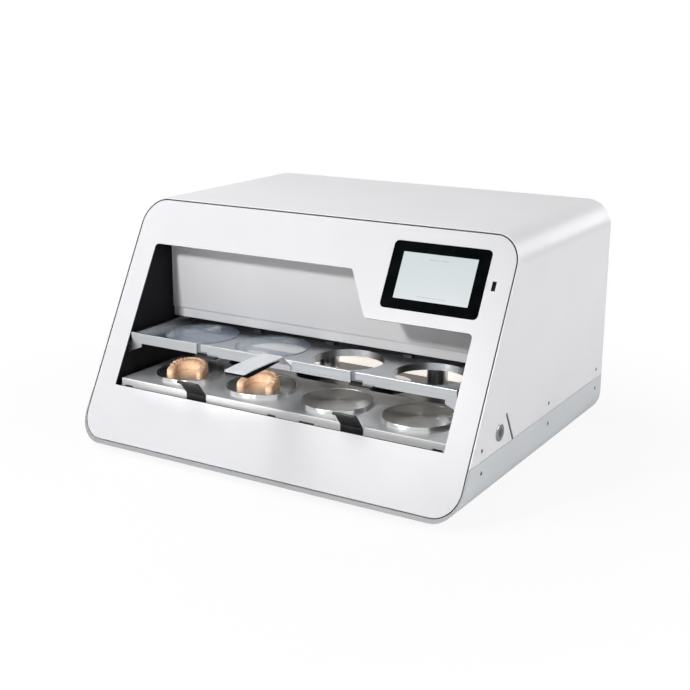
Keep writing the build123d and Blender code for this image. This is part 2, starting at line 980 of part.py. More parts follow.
with BuildPart() as foil_handle_bracket:
    bracket_points = [
        (bar_front_y, bar_low + grip_drop),
        (bar_front_y, plate_height + rear_bar_rise),
        (bracket_knee_y, grip_top),
        (grip_back_y - bracket_overlap, grip_top),
    ]
    bent_sheet(
        bracket_points, bracket_sheet, -grip_half_width, grip_half_width, bend=bracket_sheet
    )
save(foil_handle_bracket.part, "foil_handle_bracket")

with BuildPart() as foil_handle_grip:
    with BuildSketch(Plane.YZ.offset(-grip_half_width)):
        with BuildLine():
            Polyline(
                (grip_front_y, grip_top - grip_drop),
                (grip_front_y + grip_bend, grip_top),
                (grip_back_y, grip_top),
                (grip_back_y, grip_top - grip_depth / 2),
                (grip_front_y + grip_bend, grip_top - grip_depth),
                (grip_front_y + grip_depth, grip_top - grip_depth),
                (grip_front_y, grip_top - grip_depth / 2),
                close=True,
            )
        make_face()
    extrude(amount=2 * grip_half_width)
    front_corners = foil_handle_grip.edges().filter_by(Axis.Z).group_by(Axis.Y)[0]
    fillet(front_corners, radius=grip_corner)
    block(
        (-grip_half_width, grip_back_y - bracket_overlap, grip_top - bracket_sheet),
        (grip_half_width, grip_back_y, grip_top),
        Mode.SUBTRACT,
    )
save(foil_handle_grip.part, "foil_handle_grip")

with BuildPart() as foil_handle_top:
    with BuildSketch(Plane.YZ.offset(-grip_half_width)):
        with BuildLine():
            Polyline(
                (grip_front_y, grip_top - grip_drop),
                (grip_front_y + grip_bend, grip_top),
                (bracket_knee_y, grip_top),
                (bracket_knee_y, grip_top + grip_skin),
                (grip_front_y + grip_bend, grip_top + grip_skin),
                (grip_front_y, grip_top + grip_skin - grip_drop),
                close=True,
            )
        make_face()
    extrude(amount=2 * grip_half_width)
    front_corners = foil_handle_top.edges().filter_by(Axis.Z).group_by(Axis.Y)[0]
    fillet(front_corners, radius=grip_corner)
save(foil_handle_top.part, "foil_handle_top")

# Model carriage: a folded tray with four seats, and two pulls that lean out of the window.
with BuildPart() as model_tray:
    block(
        (-tray_half_width, model_front_y, model_top - model_sheet),
        (tray_half_width, model_back_y, model_top),
    )
    block(
        (-tray_half_width, model_front_y, model_lip_low),
        (tray_half_width, model_front_y + lip_sheet, model_top),
    )
    block(
        (-tray_half_width, model_back_y - lip_sheet, model_top - model_rear_lip_height),
        (tray_half_width, model_back_y, model_top),
    )
    for side in (-1, 1):
        block(
            (side * (tray_half_width - lip_sheet), model_front_y, model_lip_low),
            (side * tray_half_width, model_back_y, model_top),
        )
    tray_top_edges = model_tray.edges().filter_by(Axis.X).group_by(Axis.Z)[-1]
    fillet(tray_top_edges.sort_by(Axis.Y)[0], radius=lip_bend)
    for x in station_x:
        with Locations((x, model_row_y, model_top)):
            Hole(spigot_radius + spigot_fit, depth=2 * model_sheet)
    end_notch_x = tray_half_width - end_notch_inset
    end_notches = [(-end_notch_x, end_notch_width), (end_notch_x, end_notch_width)]
    for x, width in end_notches + middle_notches:
        block(
            (x - width / 2, model_front_y - cut_room, model_lip_low - cut_room),
            (x + width / 2, model_front_y + lip_sheet, model_lip_low + lip_notch_rise),
            Mode.SUBTRACT,
        )
save(model_tray.part, "model_tray")

with BuildPart() as pull_handles:
    pull_points = [
        (model_front_y, model_top - pull_drop),
        (model_front_y, model_top - pull_shoulder),
        (model_front_y - pull_top[0], model_top + pull_top[1]),
        (model_front_y - pull_tip[0], model_top + pull_tip[1]),
    ]
    curl_y = model_front_y - pull_tip[0]
    curl_z = model_top + pull_tip[1] - pull_curl
    for x in pair_x:
        bent_sheet(pull_points, pull_sheet, x - pull_half_width, x + pull_half_width)
        level((x, curl_y, curl_z), 2 * pull_half_width, pull_curl, along_x)
save(pull_handles.part, "pull_handles")

# Discs: turned plates with a flat face inside a narrow rim, each centred in its seat.
disc_top = model_top + disc_rise
disc_face = disc_top - disc_recess
for number, x in enumerate(station_x, 1):
    with BuildPart() as model_plate:
        with BuildSketch(Plane.XZ.offset(-model_row_y)):
            with BuildLine():
                Polyline(
                    (x, model_top - spigot_depth),
                    (x + spigot_radius, model_top - spigot_depth),
                    (x + spigot_radius, model_top),
                    (x + disc_radius, model_top),
                    (x + disc_radius, disc_top - disc_chamfer),
                    (x + disc_radius - disc_chamfer, disc_top),
                    (x + disc_radius - disc_rim, disc_top),
                    (x + disc_radius - disc_rim - disc_recess, disc_face),
                    (x, disc_face),
                    close=True,
                )
            make_face()
        revolve(axis=Axis((x, model_row_y, 0), (0, 0, 1)))
    save(model_plate.part, f"model_plate_{number}")

# Plaster casts: a horseshoe arch with drafted walls and a ridge of teeth, on the left two discs.
ridge_radius = (cast_radius + cast_inner) / 2 + tooth_offset
tooth_step = (teeth_arc[1] - teeth_arc[0]) / (teeth_count - 1)
tooth_angles = [radians(teeth_arc[0] + tooth_step * i) for i in range(teeth_count)]
tooth_places = [(ridge_radius * cos(a), ridge_radius * sin(a)) for a in tooth_angles]
for number in (1, 2):
    turn = radians(cast_turn[number - 1])
    cast_plane = Plane(
        origin=(station_x[number - 1] + cast_shift[0], model_row_y + cast_shift[1], disc_face),
        x_dir=(cos(turn), sin(turn), 0),
        z_dir=(0, 0, 1),
    )
    with BuildPart() as plaster_cast:
        with BuildSketch(cast_plane) as arch:
            with BuildLine():
                Line((cast_radius, -cast_leg), (cast_radius, 0))
                ThreePointArc((cast_radius, 0), (0, cast_radius), (-cast_radius, 0))
                Line((-cast_radius, 0), (-cast_radius, -cast_leg))
                Line((-cast_radius, -cast_leg), (-cast_inner, -cast_leg))
                Line((-cast_inner, -cast_leg), (-cast_inner, 0))
                ThreePointArc((-cast_inner, 0), (0, cast_inner), (cast_inner, 0))
                Line((cast_inner, 0), (cast_inner, -cast_leg))
                Line((cast_inner, -cast_leg), (cast_radius, -cast_leg))
            make_face()
        extrude(amount=cast_height, taper=cast_draft)
        for place in tooth_places:
            with BuildSketch(cast_plane.offset(cast_height)):
                with Locations(place):
                    Circle(tooth_radius)
            extrude(amount=tooth_rise, taper=tooth_taper)
    save(plaster_cast.part, f"plaster_cast_{number}")

# Heater carriage: a shallow inverted tray with four ceramic emitters, running on two rods.
emitter_high = heater_high - heater_roof
with BuildPart() as heater_housing:
    half_length = heater_length / 2
    block(
        (-heater_half_width, heater_y - half_length, heater_low),
        (heater_half_width, heater_y + half_length, heater_high),
    )
    block(
        (heater_shell - heater_half_width, heater_y - half_length + heater_shell, heater_low),
        (heater_half_width - heater_shell, heater_y + half_length - heater_shell, emitter_high),
        Mode.SUBTRACT,
    )
    for side in (-1, 1):
        block(
            (side * heater_half_width, heater_y - bearing_length / 2, rod_height - bearing_half),
            (
                side * (rod_x + rod_radius + bearing_wall),
                heater_y + bearing_length / 2,
                rod_height + bearing_half,
            ),
        )
        bore = rod_radius + running_fit
        level((side * rod_x, heater_y, rod_height), heater_length, bore, along_y, Mode.SUBTRACT)
save(heater_housing.part, "heater_housing")

with BuildPart() as heater_emitters:
    for x in station_x:
        upright(x, heater_y, emitter_high - emitter_thickness, emitter_high, emitter_radius)
save(heater_emitters.part, "heater_emitters")

rod_middle = (rod_front + rod_rear) / 2
rod_length = rod_rear - rod_front
with BuildPart() as heater_rods:
    for x in (-rod_x, rod_x):
        level((x, rod_middle, rod_height), rod_length, rod_radius, along_y)
save(heater_rods.part, "heater_rods")

with BuildPart() as rod_blocks:
    for side in (-1, 1):
        for y in (rod_front, rod_rear - rod_block_depth):
            block(
                (side * (rod_x - rod_block_side), y, rod_height - bearing_half),
                (side * chamber_half_width, y + rod_block_depth, rod_height + bearing_half),
            )
        level((side * rod_x, rod_middle, rod_height), rod_length, rod_radius, along_y, Mode.SUBTRACT)
save(rod_blocks.part, "rod_blocks")

# Pressure head: a beam with four bells that comes down on the foils, on two piston rods.
beam_high = bell_high + beam_thickness
with BuildPart() as pressure_beam:
    block(
        (-heater_half_width, process_y - bell_radius, bell_high),
        (heater_half_width, process_y + bell_radius, beam_high),
    )
save(pressure_beam.part, "pressure_beam")

with BuildPart() as pressure_bells:
    for x in station_x:
        upright(x, process_y, bell_low, bell_high, bell_radius)
    for x in station_x:
        inside = bell_radius - bell_wall
        upright(x, process_y, bell_low, bell_high - bell_wall, inside, Mode.SUBTRACT)
save(pressure_bells.part, "pressure_bells")

head_cylinder_low = beam_high + head_cylinder_gap
head_cavity_low = head_cylinder_low + head_cylinder_wall
head_cavity_high = crossbeam_low - head_cylinder_wall
head_bore = head_cylinder_radius - head_cylinder_wall
with BuildPart() as head_piston_rods:
    for x in pair_x:
        piston_high = head_cavity_high - piston_gap
        upright(x, process_y, beam_high, piston_high, head_rod_radius)
        upright(
            x, process_y, piston_high - piston_thickness, piston_high, head_bore - running_fit
        )
save(head_piston_rods.part, "head_piston_rods")

with BuildPart() as head_cylinders:
    for x in pair_x:
        upright(x, process_y, head_cylinder_low, crossbeam_low, head_cylinder_radius)
        upright(x, process_y, head_cavity_low, head_cavity_high, head_bore, Mode.SUBTRACT)
        gland = head_rod_radius + running_fit
        upright(x, process_y, head_cylinder_low, head_cavity_low, gland, Mode.SUBTRACT)
save(head_cylinders.part, "head_cylinders")

with BuildPart() as top_crossbeam:
    block(
        (-chamber_half_width, process_y - crossbeam_depth / 2, crossbeam_low),
        (chamber_half_width, process_y + crossbeam_depth / 2, crossbeam_low + crossbeam_thickness),
    )
save(top_crossbeam.part, "top_crossbeam")

# Lift frame: a plate under the floor, pulled up by two cylinders, that carries the discs.
with BuildPart() as lift_plate:
    lift_half_width = tray_half_width - lift_side_margin
    block(
        (-lift_half_width, process_y - lift_front_margin, lift_low),
        (lift_half_width, process_y + lift_back_margin, lift_high),
    )
save(lift_plate.part, "lift_plate")

lift_cavity_low = floor_height + lift_cylinder_wall
lift_piston_high = lift_cavity_low + lift_stop_gap + lift_piston_thickness
lift_cavity_high = lift_piston_high + lift_stroke + lift_cylinder_room
lift_cylinder_high = lift_cavity_high + lift_cylinder_wall
lift_bore = lift_cylinder_radius - lift_cylinder_wall
with BuildPart() as lift_rods:
    for x in station_x:
        lift_head_high = lift_head_low + lift_head_thickness
        upright(x, process_y, lift_high, lift_head_low, lift_rod_radius)
        upright(x, process_y, lift_head_low, lift_head_high, lift_head_radius)
    for x in (-lift_pull_x, lift_pull_x):
        piston_low = lift_piston_high - lift_piston_thickness
        upright(x, lift_pull_y, lift_high, lift_piston_high, lift_pull_radius)
        upright(x, lift_pull_y, piston_low, lift_piston_high, lift_bore - running_fit)
save(lift_rods.part, "lift_rods")

with BuildPart() as lift_cylinders:
    for x in (-lift_pull_x, lift_pull_x):
        upright(x, lift_pull_y, floor_height, lift_cylinder_high, lift_cylinder_radius)
        upright(x, lift_pull_y, lift_cavity_low, lift_cavity_high, lift_bore, Mode.SUBTRACT)
        gland = lift_pull_radius + running_fit
        upright(x, lift_pull_y, floor_height, lift_cavity_low, gland, Mode.SUBTRACT)
save(lift_cylinders.part, "lift_cylinders")

# Stores on the floor behind the process station: mains supply, air tank and valves.
store_y = process_y + model_half_depth + store_gap
with BuildPart() as power_supply:
    supply_x = supply_side_gap - chamber_half_width
    block(
        (supply_x, store_y, floor_height),
        (supply_x + supply_size[0], store_y + supply_size[1], floor_height + supply_size[2]),
    )
    fillet(power_supply.edges().filter_by(Axis.Z), radius=supply_round)
save(power_supply.part, "power_supply")

tank_y = casing_back - tank_inset
tank_height = floor_height + tank_lift + tank_radius
with BuildPart() as air_tank:
    level((0, tank_y, tank_height), 2 * tank_half_length, tank_radius, along_x)
    fillet(air_tank.edges().filter_by(GeomType.CIRCLE), radius=tank_round)
    for x in (-saddle_place, saddle_place):
        block(
            (x - saddle_half_width, tank_y - saddle_half_depth, floor_height),
            (x + saddle_half_width, tank_y + saddle_half_depth, tank_height - tank_radius / 2),
        )
save(air_tank.part, "air_tank")

valve_x = chamber_half_width - valve_side_gap - valve_size[0]
valve_y = casing_back - valve_rear_gap - valve_size[1]
valve_high = floor_height + valve_size[2]
valve_step = valve_size[0] / valve_count
with BuildPart() as valve_block:
    block(
        (valve_x, valve_y, floor_height), (valve_x + valve_size[0], valve_y + valve_size[1], valve_high)
    )
    for i in range(valve_count):
        middle = valve_x + (i + 0.5) * valve_step
        block(
            (middle - valve_fill * valve_step, valve_y + valve_front_margin, valve_high),
            (
                middle + valve_fill * valve_step,
                valve_y + valve_size[1] - valve_back_margin,
                valve_high + valve_rise,
            ),
        )
save(valve_block.part, "valve_block")

# Control board: it stands on studs on the outer face of the right liner.
board_x = chamber_half_width + liner + board_standoff
board_y = process_y + board_setback
board_z = floor_height + board_rise
board_front = board_x + board_sheet
with BuildPart() as control_board:
    block(
        (board_x, board_y, board_z), (board_front, board_y + board_size[0], board_z + board_size[1])
    )
    for y in (board_y + board_stud_inset, board_y + board_size[0] - board_stud_inset):
        for z in (board_z + board_stud_inset, board_z + board_size[1] - board_stud_inset):
            stud_middle = (board_x - board_standoff / 2, y, z)
            level(stud_middle, board_standoff, board_stud_radius, along_x)
    for i in range(chip_count):
        chip_y = board_y + chip_margin[0] + chip_pitch * i
        chip_z = board_z + chip_margin[1]
        block(
            (board_front, chip_y, chip_z),
            (board_front + chip_size[0], chip_y + chip_size[1], chip_z + chip_size[2]),
        )
save(control_board.part, "control_board")

# Back panel: vents, the mains inlet with its rocker, the air coupling and the silencer.
with BuildPart() as back_panel:
    with BuildSketch(rear_plane):
        with Locations((0, casing_middle)):
            RectangleRounded(
                casing_width - 2 * (wall + back_fit),
                casing_height - 2 * (wall + back_fit),
                corner_radius - wall - back_fit,
            )
        with Locations(vent_place):
            with GridLocations(*vent_pitch, vent_columns, vent_rows):
                SlotOverall(*vent_size, mode=Mode.SUBTRACT)
        with Locations(fan_place):
            with GridLocations(0, fan_slot_pitch, 1, fan_slot_count):
                SlotOverall(fan_slot_length, fan_slot_width, mode=Mode.SUBTRACT)
        with Locations(inlet_place):
            Rectangle(*[side - 2 * inlet_rim for side in inlet_size], mode=Mode.SUBTRACT)
        with Locations(coupling_place):
            Circle(coupling_radius, mode=Mode.SUBTRACT)
        with Locations(silencer_place):
            Circle(silencer_neck, mode=Mode.SUBTRACT)
        with Locations(*back_screw_places):
            Circle(screw_radius, mode=Mode.SUBTRACT)
    extrude(amount=back_sheet)
save(back_panel.part, "back_panel")

fan_x, fan_z = fan_place
fan_back = casing_back - back_sheet
fan_front = fan_back - fan_depth
with BuildPart() as fan_frame:
    with BuildSketch(back_sheet_plane):
        with Locations(fan_place):
            RectangleRounded(fan_size, fan_size, fan_corner)
            Circle(fan_size / 2 - fan_wall, mode=Mode.SUBTRACT)
    extrude(amount=fan_depth)
    with BuildSketch(Plane.XZ.offset(-fan_front)):
        with Locations(fan_place):
            Circle(fan_hub_radius)
            Rectangle(fan_size - fan_wall, fan_spoke)
            Rectangle(fan_spoke, fan_size - fan_wall)
    extrude(amount=-fan_wall)
    pin_middle = (fan_x, (fan_front + fan_back) / 2, fan_z)
    level(pin_middle, fan_depth - 2 * fan_wall, fan_pin_radius, along_y)
save(fan_frame.part, "fan_frame")

with BuildPart() as fan_rotor:
    rotor_front = fan_front + fan_wall + fan_play
    rotor_back = fan_back - fan_wall
    rotor_middle = (fan_x, (rotor_front + rotor_back) / 2, fan_z)
    rotor_length = rotor_back - rotor_front
    level(rotor_middle, rotor_length, fan_hub_radius, along_y)
    blade_tip = fan_size / 2 - fan_wall - 2 * fan_play
    blade_root = fan_hub_radius - fan_play
    for i in range(fan_blades):
        with Locations(Location(rotor_middle, (0, 360 / fan_blades * i, 0))):
            with Locations(((blade_tip + blade_root) / 2, 0, 0)):
                Box(
                    blade_tip - blade_root,
                    fan_blade,
                    rotor_length - fan_play,
                    rotation=(fan_pitch, 0, 0),
                )
    level(rotor_middle, fan_depth, fan_pin_radius + running_fit, along_y, Mode.SUBTRACT)
save(fan_rotor.part, "fan_rotor")

rocker_place = (inlet_x, inlet_place[1] + rocker_rise)
socket_place = (inlet_x, inlet_place[1] - socket_drop)
inlet_plane = rear_plane.offset(-inlet_flange)
with BuildPart() as power_inlet:
    with BuildSketch(rear_plane):
        with Locations(inlet_place):
            RectangleRounded(*inlet_size, inlet_corner)
    extrude(amount=-inlet_flange)
    with BuildSketch(rear_plane):
        with Locations(inlet_place):
            Rectangle(*[side - 2 * (inlet_rim + inlet_fit) for side in inlet_size])
    extrude(amount=inlet_depth - inlet_flange)
    with BuildSketch(inlet_plane):
        with Locations(socket_place):
            RectangleRounded(*socket_size, socket_corner)
            with GridLocations(socket_pin_pitch, 0, 3, 1):
                Rectangle(*socket_pin, mode=Mode.SUBTRACT)
    extrude(amount=socket_depth, mode=Mode.SUBTRACT)
    with BuildSketch(inlet_plane):
        with Locations(rocker_place):
            Rectangle(*[side + 2 * rocker_fit for side in rocker_size])
    extrude(amount=rocker_pocket, mode=Mode.SUBTRACT)
save(power_inlet.part, "power_inlet")

with BuildPart() as switch_rocker:
    rocker_y = casing_back + inlet_flange
    rocker_half = rocker_size[1] / 2
    with BuildSketch(Plane.YZ.offset(inlet_x - rocker_size[0] / 2)):
        with BuildLine():
            Polyline(
                (rocker_y - rocker_depth, rocker_place[1] - rocker_half),
                (rocker_y + rocker_low, rocker_place[1] - rocker_half),
                (rocker_y + rocker_low, rocker_place[1]),
                (rocker_y + rocker_high, rocker_place[1] + rocker_half),
                (rocker_y - rocker_depth, rocker_place[1] + rocker_half),
                close=True,
            )
        make_face()
    extrude(amount=rocker_size[0])
save(switch_rocker.part, "switch_rocker")

with BuildPart() as air_coupling:
    with BuildSketch(rear_plane):
        with Locations(coupling_place):
            RegularPolygon(coupling_nut / 2, 6)
    extrude(amount=-coupling_nut_thickness)
    with BuildSketch(rear_plane) as stem:
        with Locations(coupling_place):
            Circle(coupling_radius - coupling_play)
    extrude(amount=-coupling_reach)
    extrude(stem.sketch, amount=valve_rear_gap)
    with BuildSketch(rear_plane):
        with Locations(coupling_place):
            Circle(coupling_bore)
    extrude(amount=-coupling_reach, mode=Mode.SUBTRACT)
save(air_coupling.part, "air_coupling")

with BuildPart() as exhaust_silencer:
    with BuildSketch(rear_plane):
        with Locations(silencer_place):
            Circle(silencer_radius)
    extrude(amount=-silencer_reach)
    fillet(exhaust_silencer.edges().sort_by(Axis.Y)[-1], radius=silencer_round)
    with BuildSketch(rear_plane):
        with Locations(silencer_place):
            Circle(silencer_neck - coupling_play)
    extrude(amount=valve_rear_gap)
save(exhaust_silencer.part, "exhaust_silencer")
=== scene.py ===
# A bench pressure former for dental foils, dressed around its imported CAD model.
# All sizes are in metres, in the model's own frame: +Z up, the window towards -Y.
import math

import bmesh
import bpy
from mathutils import Matrix, Vector


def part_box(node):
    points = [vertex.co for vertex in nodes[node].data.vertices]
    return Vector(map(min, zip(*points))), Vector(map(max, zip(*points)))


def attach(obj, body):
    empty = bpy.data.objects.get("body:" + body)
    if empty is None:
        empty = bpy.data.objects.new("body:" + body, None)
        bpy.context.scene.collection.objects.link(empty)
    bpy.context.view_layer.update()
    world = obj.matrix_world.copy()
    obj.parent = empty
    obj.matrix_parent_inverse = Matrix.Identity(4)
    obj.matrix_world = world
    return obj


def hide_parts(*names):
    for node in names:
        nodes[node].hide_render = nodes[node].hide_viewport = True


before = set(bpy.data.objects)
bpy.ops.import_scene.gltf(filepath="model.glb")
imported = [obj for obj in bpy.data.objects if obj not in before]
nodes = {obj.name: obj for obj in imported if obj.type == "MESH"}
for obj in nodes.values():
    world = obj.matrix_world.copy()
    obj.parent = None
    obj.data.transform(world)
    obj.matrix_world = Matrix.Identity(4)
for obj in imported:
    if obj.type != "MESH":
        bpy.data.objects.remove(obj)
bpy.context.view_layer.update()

# Camera: a short telephoto view from the machine's right, a little above it.
camera_place = Vector((1.0996, -1.8473, 0.7784))
camera_line = Vector((-0.51088, 0.81844, -0.26298))
camera = bpy.data.objects.new("camera", bpy.data.cameras.new("camera"))
camera.data.lens = 63.63
camera.data.sensor_width = 36
camera.data.shift_x = 0.0385
camera.data.shift_y = -0.0158
camera.location = camera_place
camera.rotation_euler = camera_line.to_track_quat("-Z", "Y").to_euler()
bpy.context.scene.collection.objects.link(camera)
bpy.context.scene.camera = camera

# Studio: a white floor that runs out of sight under a pale world. One small lamp from the front
# left throws crisp shadows into the window. Two large ones fill the right side and the top, one
# behind draws a soft line of light along the right shoulder, and a beam lights the casts.
bpy.context.scene.view_settings.view_transform = "Standard"


class Wire:
    """One value in a material's node tree. Sums written with it become Math nodes."""

    def __init__(self, tree, socket):
        self.tree = tree
        self.socket = socket

    def math(self, operation, *others):
        node = self.tree.nodes.new("ShaderNodeMath")
        node.operation = operation
        for slot, value in zip(node.inputs, (self, *others)):
            plug(self.tree, slot, value)
        return Wire(self.tree, node.outputs[0])

    def __add__(self, other):
        return self.math("ADD", other)

    def __sub__(self, other):
        return self.math("SUBTRACT", other)

    def __rsub__(self, other):
        return (self * -1.0).math("ADD", other)

    def __mul__(self, other):
        return self.math("MULTIPLY", other)

    def __truediv__(self, other):
        return self.math("DIVIDE", other)

    def __pow__(self, other):
        return self.math("POWER", other)

    def __abs__(self):
        return self.math("ABSOLUTE")

    __radd__ = __add__
    __rmul__ = __mul__

    def step(self, low, high):
        """0 below low, 1 above high and smooth between them."""
        node = self.tree.nodes.new("ShaderNodeMapRange")
        node.interpolation_type = "SMOOTHSTEP"
        plug(self.tree, node.inputs["Value"], self)
        node.inputs["From Min"].default_value = low
        node.inputs["From Max"].default_value = high
        return Wire(self.tree, node.outputs["Result"])


def plug(tree, slot, value):
    """Links a wire to a socket, or sets the socket's own value."""
    if isinstance(value, Wire):
        tree.links.new(value.socket, slot)
    elif slot.type == "RGBA":
        slot.default_value = (*value, 1.0)
    else:
        slot.default_value = value


class Finish:
    """One surface's material, with its Principled shader."""

    def __init__(self, name, **values):
        self.material = bpy.data.materials.new(name)
        self.material.use_nodes = True
        self.tree = self.material.node_tree
        self.shader = self.tree.nodes["Principled BSDF"]
        self.set(**values)

    def set(self, **values):
        for name, value in values.items():
            plug(self.tree, self.shader.inputs[name.replace("_", " ")], value)

    def node(self, kind, settings=(), output=0, **inputs):
        """Any other node: its settings are set first, then its sockets by name or number."""
        made = self.tree.nodes.new("ShaderNode" + kind)
        for name, value in dict(settings).items():
            setattr(made, name, value)
        for name, value in inputs.items():
            key = int(name[5:]) if name.startswith("slot_") else name.replace("_", " ")
            plug(self.tree, made.inputs[key], value)
        return Wire(self.tree, made.outputs[output])

    def place(self):
        """Where a point lies on the object."""
        return self.node("TexCoord", output="Object")

    def axis(self, name):
        """One coordinate of a point on the object: X, Y or Z."""
        split = self.node("SeparateXYZ", slot_0=self.place()).socket.node
        return Wire(self.tree, split.outputs[name])

    def fed(self, name):
        """What feeds one of the shader's sockets now."""
        return Wire(self.tree, self.shader.inputs[name].links[0].from_socket)

    def noise(self, scale, stretch=(1.0, 1.0, 1.0), detail=2.0, rough=0.5):
        """Cloudy noise from 0 to 1, drawn out along an axis where its stretch is small."""
        spread = self.node("Mapping", Vector=self.place(), Scale=stretch)
        return self.node("TexNoise", Vector=spread, Scale=scale, Detail=detail, Roughness=rough)

    def mix(self, factor, first, second):
        """A colour between two colours."""
        return self.node(
            "Mix", {"data_type": "RGBA"}, 2, slot_0=factor, slot_6=first, slot_7=second
        )

    def bump(self, height, distance):
        """Raises or sinks the surface by a height pattern."""
        self.set(Normal=self.node("Bump", Strength=1.0, Distance=distance, Height=height))

    def tilt(self, x, y, z):
        """Leans the surface's normal by a small amount along each axis."""
        lean = self.node("CombineXYZ", X=x, Y=y, Z=z)
        flat = self.node("NewGeometry", output="Normal")
        leant = self.node("VectorMath", {"operation": "ADD"}, slot_0=flat, slot_1=lean)
        self.set(Normal=self.node("VectorMath", {"operation": "NORMALIZE"}, slot_0=leant))


floor_reach = 40.0
shadow_share = 0.90
shadow_fade = (0.45, 1.0)
floor_mesh = bmesh.new()
bmesh.ops.create_grid(floor_mesh, x_segments=1, y_segments=1, size=floor_reach)
floor = bpy.data.objects.new("floor", bpy.data.meshes.new("floor"))
floor_mesh.to_mesh(floor.data)
floor_mesh.free()
bpy.context.scene.collection.objects.link(floor)
floor_paint = Finish("floor_paint", Base_Color=(0.95, 0.95, 0.95), Roughness=0.9)
floor_x = floor_paint.axis("X")
floor_y = floor_paint.axis("Y")
floor_far = ((floor_x * floor_x + floor_y * floor_y) ** 0.5).step(*shadow_fade)
floor_share = floor_far * (1.0 - shadow_share) + shadow_share
floor_ray = floor_paint.node("LightPath", output="Is Camera Ray")
floor_glow = floor_paint.node("Emission", Color=(1.0, 1.0, 1.0), Strength=1.0)
floor_skin = Wire(floor_paint.tree, floor_paint.shader.outputs[0])
floor_both = floor_paint.node(
    "MixShader", slot_0=floor_ray * floor_share, slot_1=floor_skin, slot_2=floor_glow
)
plug(floor_paint.tree, floor_paint.tree.nodes["Material Output"].inputs["Surface"], floor_both)
floor.data.materials.append(floor_paint.material)

world_light = 0.02
world = bpy.data.worlds.new("studio")
bpy.context.scene.world = world
world.use_nodes = True
world_tree = world.node_tree
world_path = world_tree.nodes.new("ShaderNodeLightPath")
seen = Wire(world_tree, world_path.outputs["Is Camera Ray"])
mirrored = Wire(world_tree, world_path.outputs["Is Glossy Ray"])
through = Wire(world_tree, world_path.outputs["Is Transmission Ray"])
white_ray = (seen + mirrored + through).math("MINIMUM", 1.0)
world_tree.nodes["Background"].inputs["Color"].default_value = (1.0, 1.0, 1.0, 1.0)
plug(
    world_tree,
    world_tree.nodes["Background"].inputs["Strength"],
    white_ray * (1.0 - world_light) + world_light,
)


def lamp(name, place, size, power, aim):
    """A square soft lamp that looks at a point of the machine."""
    light = bpy.data.lights.new(name, "AREA")
    light.shape = "SQUARE"
    light.size = size
    light.energy = power
    stand = bpy.data.objects.new(name, light)
    stand.location = place
    stand.rotation_euler = (Vector(aim) - Vector(place)).to_track_quat("-Z", "Y").to_euler()
    bpy.context.scene.collection.objects.link(stand)


lamp("key_lamp", (-0.50, -1.65, 1.22), 0.2, 18, (-0.1, -0.1, 0.25))
lamp("side_lamp", (3.2, 0.5, 1.1), 2.4, 60, (0.38, 0.0, 0.2))
lamp("top_lamp", (-1.0, -0.4, 2.4), 1.2, 29, (0.0, 0.0, 0.3))
lamp("rim_lamp", (1.25, 2.2, 1.0), 1.0, 7.5, (0.37, -0.1, 0.4))

# The beam is low and flat, so that it reaches through the window and under the upper tray.
beam_place = Vector((0.15, -1.45, 0.20))
beam_aim = Vector((-0.155, -0.165, 0.135))
beam_flatness = 0.20
beam_light = bpy.data.lights.new("beam_lamp", "SPOT")
beam_light.energy = 46
beam_light.spot_size = math.radians(15)
beam_light.spot_blend = 0.4
beam_light.shadow_soft_size = 0.03
beam = bpy.data.objects.new("beam_lamp", beam_light)
beam.location = beam_place
beam.rotation_euler = (beam_aim - beam_place).to_track_quat("-Z", "Y").to_euler()
beam.scale = (1.0, beam_flatness, 1.0)
bpy.context.scene.collection.objects.link(beam)


# Casing: the hood and the base are folded steel sheet, baked with a fine grained powder coat.
# The skin has a faint orange peel. The back sheet is the same, let in between them.
hood_colour = (0.82, 0.82, 0.84)
base_colour = (0.63, 0.65, 0.67)
# Painted shade: the hood's inside is painted near black, so that the gap round the front panel
# looks dark.
gap_shade_colour = (0.015, 0.015, 0.016)
# Painted shade: the base's front rim is painted a darker grey than its side.
rim_shade_colour = (0.40, 0.41, 0.42)
rim_shade_edge = (0.00053, 0.00106)
casing_corner = 0.047
casing_sheet = 0.0025
inside_from = 0.70
inside_full = 0.80
# The front panel leans back by this much from a point on its face, given as its Y and Z.
front_lean = math.radians(28.4)
front_foot = (-0.300, 0.0195)


def powder_coat(name, colour, rough, peel=0.00002):
    """Baked paint with a faint orange peel and slightly uneven gloss."""
    finish = Finish(name, Coat_Weight=0.1, Coat_Roughness=0.3)
    cloud = finish.noise(7.0, detail=3.0)
    shade = tuple(part * 0.975 for part in colour)
    finish.set(Base_Color=finish.mix(cloud.step(0.3, 0.7), colour, shade))
    finish.set(Roughness=cloud * 0.08 + (rough - 0.04))
    finish.bump(finish.noise(420.0) + finish.noise(1500.0, detail=1.0) * 0.5, peel)
    return finish


def wear(finish, *names):
    """Gives CAD pieces their finish."""
    for name in names:
        nodes[name].material_slots[0].material = finish.material


def behind_front(finish):
    """How far a point lies behind the panel's face, square to it."""
    back = (finish.axis("Y") - front_foot[0]) * math.cos(front_lean)
    return back - (finish.axis("Z") - front_foot[1]) * math.sin(front_lean)


def hood_paint():
    """White outside and on the sheet's edge. The inside is painted near black as painted shade, so
    the gap round the panel looks dark.
    """
    finish = powder_coat("hood_paint", hood_colour, 0.36)
    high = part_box("hood_shell")[1]
    out_x = (abs(finish.axis("X")) - (high.x - casing_corner)).math("MAXIMUM", 0.0)
    out_z = (finish.axis("Z") - (high.z - casing_corner)).math("MAXIMUM", 0.0)
    depth = casing_corner - (out_x * out_x + out_z * out_z) ** 0.5
    inside = depth.step(casing_sheet * inside_from, casing_sheet * inside_full)
    finish.set(Base_Color=finish.mix(inside, finish.fed("Base Color"), gap_shade_colour))
    return finish


